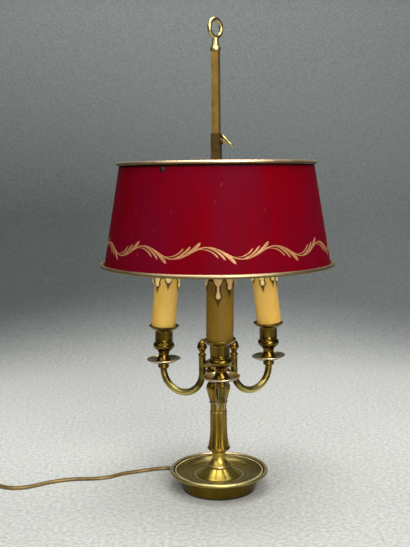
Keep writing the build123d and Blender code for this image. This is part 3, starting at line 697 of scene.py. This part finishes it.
stem = {
    "dome": [(5.0, 15.0), (24.3, 15.0), (24.4, 15.8), ((19.6, 20.1), (13.0, 25.2)), (5.0, 25.2), (5.0, 15.0)],
    "petals": {"count": 10, "depth": 0.7, "low": 15.4, "high": 25.6, "fade": 1.2, "rounded": 1.0},
    "neck": [(5.0, 25.2), (12.6, 25.2), ((13.9, 26.9), (12.4, 28.4)), ((9.0, 32.5), (7.9, 40.0)),
             ((8.5, 43.0), (10.4, 44.5)), (5.0, 44.5), (5.0, 25.2)],
    # a pale ring on the neck: painted highlight with some wear
    "neckWornAndHighlit": (12.9, 14.0, 25.6, 28.0, 0.5),
    "column": [
        (5.4, 44.5), (11.0, 44.5), ((12.9, 46.2), (12.2, 48.6)), ((10.5, 58.5), (9.6, 72.0)), (9.5, 88.6),
        (10.0, 89.0), (10.0, 90.0), (9.0, 90.4), (9.2, 99.0), (10.2, 99.5), (10.5, 100.4), (10.2, 101.2),
        (9.7, 101.5), (10.0, 102.2), ((11.3, 107.0), (13.0, 113.0)), ((13.5, 118.0), (12.0, 122.6)),
        (9.4, 125.0), (5.4, 125.0), (5.4, 44.5)],
    "facets": {"count": 16, "depth": 0.5, "low": 46.5, "high": 124.0, "fade": 2.5, "rounded": 0.0},
    # pale ring lines on the column: painted highlight with some wear
    "columnWornAndHighlit": [(12.0, 13.2, 45.2, 46.8, 0.5), (9.6, 10.6, 99.3, 101.3, 0.6),
                     (9.3, 10.1, 88.8, 90.2, 0.5)],
}


def makeStem():
    dome = lathe("stem_petals", eased(section(*stem["dome"]), 0.3, 0.6), petalBrass, 240)
    finishPiece(fluted(dome, **stem["petals"]), "root", "patinated_brass", "stem_dome")
    neck = lathe("stem_neck", eased(section(*stem["neck"]), 0.3, 0.8), petalBrass)
    finishPiece(markWearAndHighlight(neck, stem["neckWornAndHighlit"]), "root", "patinated_brass", "stem_knop")
    column = lathe("stem_baluster", eased(section(*stem["column"]), 0.2, 1.0), columnBrass, 192)
    markWearAndHighlight(fluted(column, **stem["facets"]), *stem["columnWornAndHighlit"])
    finishPiece(column, "root", "patinated_brass", "stem_column")


makeFoot()
makeStem()
print("foot and stem done")


# Arms and candle stations

stations = {  # the arms were bent by hand, and the candles stand loosely in their cups
    "front": {"bearing": -0.7, "lift": 2.5, "tilt": -2.8, "lean": 0.8, "slip": 0.7, "riser": 22.0,
              "bend": 133.0},
    "right": {"bearing": 120.5, "lift": -0.3, "tilt": -0.5, "lean": -6.4, "slip": 1.0, "riser": 22.0,
              "bend": 132.3},
    "left": {"bearing": -121.0, "lift": -1.7, "tilt": 1.6, "lean": 5.1, "slip": -1.0, "riser": 20.3,
             "bend": 132.0},
}
arm = {
    "reach": 72.0, "radius": 4.0, "collarBase": 134.0, "riserTop": 151.5, "cupFloor": 183.0, "end": 188.0,
    # pale bands on the arms' low bends: painted reflection of the floor, with some wear
    "wornAndHighlit": [(0, 99, 100, 108, 0.75), (0, 99, 108, 111, 0.6), (0, 99, 111, 114, 0.4),
               (0, 99, 114, 117, 0.2)],
    "cap": [(0, 151.5), (3.9, 151.5), ((4.7, 152.7), (3.9, 154.0)), ((3.1, 155.2), (3.6, 157.0)),
            (5.3, 160.3), ((6.0, 161.1), (5.5, 161.9)), ((4.9, 165.6), (2.4, 168.9)),
            ((0.9, 171.0), (0, 172.2))],
}
cup = {
    "collar": [(4.0, 134.0), (5.3, 134.0), ((6.3, 134.9), (6.4, 136.8)), ((6.3, 139.7), (5.8, 140.9)),
               (4.0, 140.9), (4.0, 134.0)],
    "pan": [(4.0, 140.9), (9.6, 140.9), ((15.4, 142.0), (19.0, 144.2)), ((19.8, 145.0), (18.7, 145.5)),
            ((14.8, 143.2), (9.4, 142.3)), (4.0, 142.3), (4.0, 140.9)],
    # the pans' rims and tops are pale: painted highlight with some wear
    "panWornAndHighlit": [(18.2, 20.0, 144.0, 146.0, 0.9), (9.0, 15.5, 142.25, 143.9, 0.35),
                  (15.5, 18.2, 143.6, 145.6, 0.35)],
    "panTilt": {"front": -1.5, "right": -3.2, "left": -1.5}, "panBend": (9.6, 16.0),
    "vase": [
        (4.0, 142.3), (8.9, 142.3), ((9.2, 143.2), (8.3, 144.1)), ((6.7, 147.6), (6.2, 151.4)),
        ((7.5, 154.6), (10.1, 156.8)), ((12.4, 161.0), (10.9, 164.6)), ((10.0, 165.2), (9.9, 166.0)),
        (10.5, 166.5), (10.3, 167.4), (10.3, 178.9), (10.9, 179.7), ((14.9, 180.9), (17.4, 183.9)),
        ((17.6, 184.6), (16.9, 184.7)), ((16.2, 183.7), (15.4, 183.0)), (4.0, 183.0), (4.0, 142.3)],
    "flutes": {"count": 24, "depth": 0.3, "low": 167.4, "high": 179.2, "fade": 1.0, "rounded": 1.0},
}


def stationPlace(name, height):
    spot = stations[name]
    return (Matrix.Translation(around(spot["bearing"], arm["reach"], arm["collarBase"] + spot["lift"]))
            @ Matrix.Rotation(math.radians(spot["tilt"]), 4, "Y")
            @ Matrix.Translation((0, 0, height - arm["collarBase"])))


def candlePlace(name):
    spot = stations[name]
    lean = math.radians(spot["lean"] - spot["tilt"])
    lift = candle["radius"] * math.sin(abs(lean))
    return (stationPlace(name, arm["cupFloor"] + lift) @ Matrix.Translation((spot["slip"], 0, 0))
            @ Matrix.Rotation(lean, 4, "Y"))


def makeArm(name):
    spot = stations[name]
    bend = (arm["reach"] - spot["riser"]) / 2
    middle = spot["riser"] + bend
    line = [around(spot["bearing"], spot["riser"], arm["riserTop"])]
    line += [around(spot["bearing"], middle - bend * math.cos(turn), spot["bend"] - bend * math.sin(turn))
             for turn in (math.pi * i / 40 for i in range(41))]
    line += [stationPlace(name, height).translation for height in (arm["collarBase"] + 0.3, arm["end"])]
    bar = meshObject(f"arm_tube_{name}", line, [], edges=[(i, i + 1) for i in range(len(line) - 1)])
    applied(bar, tubes, Radius=arm["radius"] * mm, Sides=32, Finish=armBrass)
    markWearAndHighlight(bar, *arm["wornAndHighlit"])
    finishPiece(bar, "root", "patinated_brass", f"arm_{name}")
    cap = placed(lathe(f"arm_onion_{name}", eased(section(*arm["cap"]), 0.2), cupBrass, 48),
                 Matrix.Translation(around(spot["bearing"], spot["riser"], 0)))
    finishPiece(cap, "root", "patinated_brass", f"arm_cap_{name}")


def makeStation(name):
    axis = stationPlace(name, 0)
    collar = placed(lathe(f"collar_{name}", eased(section(*cup["collar"]), 0.2), cupBrass, 48), axis)
    finishPiece(collar, "root", "patinated_brass", "arm_collars")
    pan = markWearAndHighlight(lathe(f"pan_{name}", eased(section(*cup["pan"]), 0.2, 0.8), cupBrass), *cup["panWornAndHighlit"])
    slant = math.tan(math.radians(cup["panTilt"][name] - stations[name]["tilt"]))
    for vertex in pan.data.vertices:
        reach = math.hypot(vertex.co.x, vertex.co.y) / mm
        vertex.co.z -= vertex.co.x * slant * smooth(reach, *cup["panBend"])
    finishPiece(placed(pan, axis), "root", "patinated_brass", f"drip_pan_{name}")
    vase = lathe(f"cup_{name}", eased(section(*cup["vase"]), 0.2, 0.9), cupBrass, 180)
    finishPiece(placed(fluted(vase, **cup["flutes"]), axis), "root", "patinated_brass", f"candle_cup_{name}")


candle = {
    "radius": 14.2, "inner": 12.7, "length": 73.0, "rows": 0.6, "sides": 180,
    "curtain": 1.4, "edge": 1.0,  # how far the wax at the top stands out, and over what height it ends
    "sag": 7.5, "round": 4.2,  # how far the curtain's edge comes down to each drip, and over what width
    "wobble": 0.8, "brownUnderEdge": (1.2, 2.8),  # unevenness of that edge, and where the brown under it, stain with painted shadow, fades
    "neck": 1.3, "drop": 0.9, "swell": (3, 8),  # how far a drip and its drop stand out, and the drop's top
    "halo": (0.8, 2.2), "trail": 8,  # brown beside a drip and length of the brown wedge under it: stain with painted shadow
    "drips": {  # bearing about the candle, height of the drop's end, width
        "front": [(-76, 57, 5.0), (-12, 44.5, 5.4), (37, 54, 5.4), (84, 57, 4.6), (128, 57, 4.4),
                  (164, 48, 5.0), (-150, 54, 4.6), (-110, 50, 4.8)],
        "right": [(-16, 46, 5.0), (36, 50, 4.6), (68, 48, 5.0), (112, 55, 4.6), (150, 49, 5.0),
                  (-165, 54, 4.6), (-118, 47, 5.0), (-68, 57, 4.4)],
        "left": [(-45, 47, 5.0), (8, 52, 5.2), (73, 47, 5.2), (125, 53, 4.8),
                 (168, 47, 5.0), (-140, 55, 4.6), (-92, 49, 4.8)],
    },
    "arch": {"front": 65.4, "right": 59.6, "left": 59.6},
    "finish": {"front": darkerFrontWax, "right": wax, "left": wax},
}


# How far the wax stands out, how brown it is and how fresh, at a bearing and height of a candle
def waxSurface(name, bearing, height):
    arch = candle["arch"][name] + candle["wobble"] * math.sin(math.radians(3 * bearing + 40))
    near = []
    for middle, end, width in candle["drips"][name]:
        apart = abs((bearing - middle + 180) % 360 - 180) * math.pi / 180 * candle["radius"]
        near.append((apart, end, width))
        arch -= candle["sag"] * (1 - smooth(apart, width * 0.3, width * 0.3 + candle["round"]))
    curtain = smooth(height, arch, arch + candle["edge"])
    proud, fresh = candle["curtain"] * curtain, curtain
    brown = (1 - curtain) * (1 - smooth(arch - height, *candle["brownUnderEdge"]))
    # brown just under the curtain's edge: stain with painted shadow
    for apart, end, width in near:
        full = 1 - smooth(height, *(end + swell for swell in candle["swell"]))
        half = width / 2 * (0.55 + 0.45 * full)
        centre = end + half
        reach = math.hypot(apart, height - centre) if height < centre else apart
        if height > arch + 1.5:
            continue
        if reach < half:
            bulge = math.sqrt(1 - (reach / half) ** 2)
            proud = max(proud, (candle["neck"] + candle["drop"] * full) * bulge)
            brown *= 1 - smooth(bulge, 0.1, 0.5)
            fresh = max(fresh, smooth(bulge, 0.1, 0.5))
        elif fresh < 0.5:
            edge = 1 - smooth(reach, *(half + beside for beside in candle["halo"]))
            below, trail = (end - height) / candle["trail"], 0.0
            if 0 < below < 1:  # brown wedge, stain with painted shadow, that runs out under the drop
                reachHere = half * (1 - below)
                trail = (1 - smooth(apart, reachHere * 0.6, reachHere + 1.0)) * (1 - below * 0.4)
            brown = max(brown, edge, trail)
    return proud, brown, fresh


def makeCandle(name):
    radius, inner, length = candle["radius"], candle["inner"], candle["length"]
    wall = section((inner, 0), (radius, 0), (radius, length - 1.2),
                   ((radius - 0.3, length), (inner, length - 0.6)), (inner, 0))
    piece = lathe(f"candle_{name}", eased(wall, 0.2, candle["rows"]), candle["finish"][name],
                  candle["sides"])
    # the brown, stain with painted shadow, is kept on the points
    stainAndShadow = piece.data.attributes.new("stainAndShadow", "FLOAT", "POINT")
    drip = piece.data.attributes.new("drip", "FLOAT", "POINT")
    for vertex in piece.data.vertices:
        x, y, z = vertex.co / mm
        reach = math.hypot(x, y)
        if reach < radius - 0.4:
            continue
        proud, brown, fresh = waxSurface(name, math.degrees(math.atan2(x, -y)), z)
        rounding = 1 - smooth(z, length - 2.5, length) * 0.6
        grow = (reach + proud * rounding) / reach
        vertex.co.x *= grow
        vertex.co.y *= grow
        stainAndShadow.data[vertex.index].value = brown
        drip.data[vertex.index].value = fresh
    piece.data.update()
    finishPiece(placed(piece, candlePlace(name)), "root", "candle_card", f"candle_sleeve_{name}")


for name in stations:
    makeArm(name)
    makeStation(name)
    makeCandle(name)
print("arms and candles done")


# Finial

finial = {
    "shank": [(0, 489.5), (5.8, 489.5), (6.0, 490.6), (6.0, 492.4), (5.7, 493.2), (5.1, 493.4),
              ((4.0, 496.6), (3.6, 500.6)), (3.7, 503.0), (0, 504.0)],
    "ringRadius": 9.5, "ringSection": 2.4, "ringHeight": 513.7, "turn": 45.0, "steps": 72,
}


def makeFinial():
    shank = lathe("finial_shank", eased(section(*finial["shank"]), 0.25), handledBrass, 64)
    finishPiece(shank, "root", "patinated_brass", "ring_finial")
    turn, radius, steps = math.radians(finial["turn"]), finial["ringRadius"], finial["steps"]
    line = [Vector((radius * math.cos(a) * math.cos(turn), radius * math.cos(a) * math.sin(turn),
                    finial["ringHeight"] + radius * math.sin(a)))
            for a in (2 * math.pi * i / steps for i in range(steps))]
    ring = meshObject("finial_ring", line, [], edges=[(i, (i + 1) % steps) for i in range(steps)])
    applied(ring, tubes, Radius=finial["ringSection"] * mm, Sides=28, Finish=handledBrass)
    finishPiece(ring, "root", "patinated_brass", "ring_finial")


makeFinial()
print("finial done")


# Shade

shade = {
    "top": 368.9, "bottom": 258.9, "topRadius": 106.4, "bottomRadius": 125.0, "wall": 1.0, "sides": 240,
    "paintedRimShadow": (5.4, 3.0),  # where the painted shadow under the top rim fades in, below the top
    # polish pales the top half of each bead: painted highlight with some wear; the darker gilt below stands
    # partly for shade
    "rims": {"top": {"radius": 107.7, "bead": 2.0, "polishAndHighlight": 0.9},
             "bottom": {"radius": 127.8, "bead": 2.2, "polishAndHighlight": 0.45}},
    "rimSteps": 24, "fold": {"radii": (124.0, 126.5, 126.5, 125.0), "half": 0.6},
}
shadeSlope = (shade["bottomRadius"] - shade["topRadius"]) / (shade["top"] - shade["bottom"])


def onShade(bearing, height, lift):  # a point on the outside of the shade's wall
    return around(bearing, shade["topRadius"] + (shade["top"] - height) * shadeSlope + lift, height)


def makeShade():
    low, high = shade["bottom"], shade["top"]
    outside = section((shade["bottomRadius"], low), (shade["topRadius"], high))
    wall = lathe("shade_wall", eased(outside, 0.2, 1.2), paint, shade["sides"])
    # a painted shadow under the top rim, fading out downwards
    paintedRimShadow = wall.data.attributes.new("paintedRimShadow", "FLOAT", "POINT")
    for vertex in wall.data.vertices:
        paintedRimShadow.data[vertex.index].value = smooth(vertex.co.z / mm, *(high - below for below in shade["paintedRimShadow"]))
    inside = section((shade["bottomRadius"] - shade["wall"], low), (shade["topRadius"] - shade["wall"], high))
    lining = lathe("shade_lining", eased(inside, 0.2, 12), cream, shade["sides"])
    lining.data.flip_normals()
    finishPiece(wall, "shade", "red_tole", "shade_shell")
    finishPiece(lining, "shade", "red_tole", "shade_shell")
    for name, height in (("top", high), ("bottom", low)):
        radius, bead, polishAndHighlight = (shade["rims"][name][key] for key in ("radius", "bead", "polishAndHighlight"))
        ring = [Vector((radius + bead * math.cos(a), height + bead * math.sin(a)))
                for a in (2 * math.pi * i / shade["rimSteps"] for i in range(shade["rimSteps"] + 1))]
        # the top half of each bead is made pale: painted highlight with some wear
        rim = markWearAndHighlight(lathe(f"rim_{name}", ring, gilt, shade["sides"]),
                  (radius - bead, 140, height - 0.1, height + 3, polishAndHighlight))
        finishPiece(rim, "shade", "gilt_rim", f"shade_{name}_rim")
    half = shade["fold"]["half"]
    strip = section(*zip(shade["fold"]["radii"], (low - half, low - half, low + half, low + half)))
    finishPiece(lathe("rim_fold", strip, gilt, shade["sides"]), "shade", "gilt_rim")


frieze = {
    "periods": 11, "middle": 280.9, "swing": 5.8, "peak": -8.2, "vine": 0.6,
    "strokes": [  # from the last turn of the vine: start, pull and end as (along, away), widest half
        ((-8.0, -3.6), (4.0, -4.8), (10.8, 4.8), 0.7),
        ((-2.0, -5.6), (9.0, -4.8), (17.9, 6.8), 1.0),
        ((4.0, -5.4), (16.0, -3.0), (27.9, 10.5), 1.6)],
    "vineSteps": 48, "strokeSteps": 14,
    "section": ((-1, 0.02), (-0.55, 0.176), (0, 0.22), (0.55, 0.176), (1, 0.02)),  # half widths, lift
}
friezeRadius = shade["topRadius"] + (shade["top"] - frieze["middle"]) * shadeSlope


# A raised stroke: its line and half widths are distances along and up the wall
def strokeStrip(line, widths):
    points = []
    for i, (spot, half) in enumerate(zip(line, widths)):
        ahead, back = line[min(i + 1, len(line) - 1)], line[max(i - 1, 0)]
        along = (ahead - back).normalized()
        across = Vector((-along.y, along.x)) * half
        for side, lift in frieze["section"]:
            place = spot + across * side
            points.append(onShade(math.degrees(place.x / friezeRadius), frieze["middle"] + place.y, lift))
    return points, skin(len(line), len(frieze["section"]), closed=False)


def makeFrieze():  # one turn of the vine with its strokes, repeated round the shade
    period = 2 * math.pi * friezeRadius / frieze["periods"]
    points, faces = [], []

    def add(line, widths):
        morePoints, moreFaces = strokeStrip(line, widths)
        faces.extend([tuple(len(points) + corner for corner in face) for face in moreFaces])
        points.extend(morePoints)

    shares = [i / frieze["vineSteps"] for i in range(frieze["vineSteps"] + 1)]
    vine = [Vector((period * t, frieze["swing"] * math.cos(2 * math.pi * t))) for t in shares]
    add(vine, [frieze["vine"] * (0.75 + 0.5 * abs(math.sin(2 * math.pi * t))) for t in shares])
    shares = [i / frieze["strokeSteps"] for i in range(frieze["strokeSteps"] + 1)]
    for origin, way in ((period / 2, 1), (0, -1)):
        for start, pull, end, widest in frieze["strokes"]:
            a, b, c = (Vector((origin + along, away * way)) for along, away in (start, pull, end))
            line = [a * (1 - t) ** 2 + b * 2 * t * (1 - t) + c * t * t for t in shares]
            add(line, [widest * max(0.04, min(smooth(t, -0.25, 0.8), math.sqrt(max(0, (1 - t) / 0.09))))
                       for t in shares])
    motif = meshObject("frieze", points, faces)
    applied(motif, copies, Count=frieze["periods"], Finish=leafGilt)
    for polygon in motif.data.polygons:
        outward = Vector((polygon.center.x, polygon.center.y, 0))
        if polygon.normal.dot(outward) < 0:
            polygon.flip()
    placed(motif, Matrix.Rotation(math.radians(frieze["peak"]), 4, "Z"))
    finishPiece(motif, "shade", "gilt_rim")


makeShade()
makeFrieze()
print("shade done")
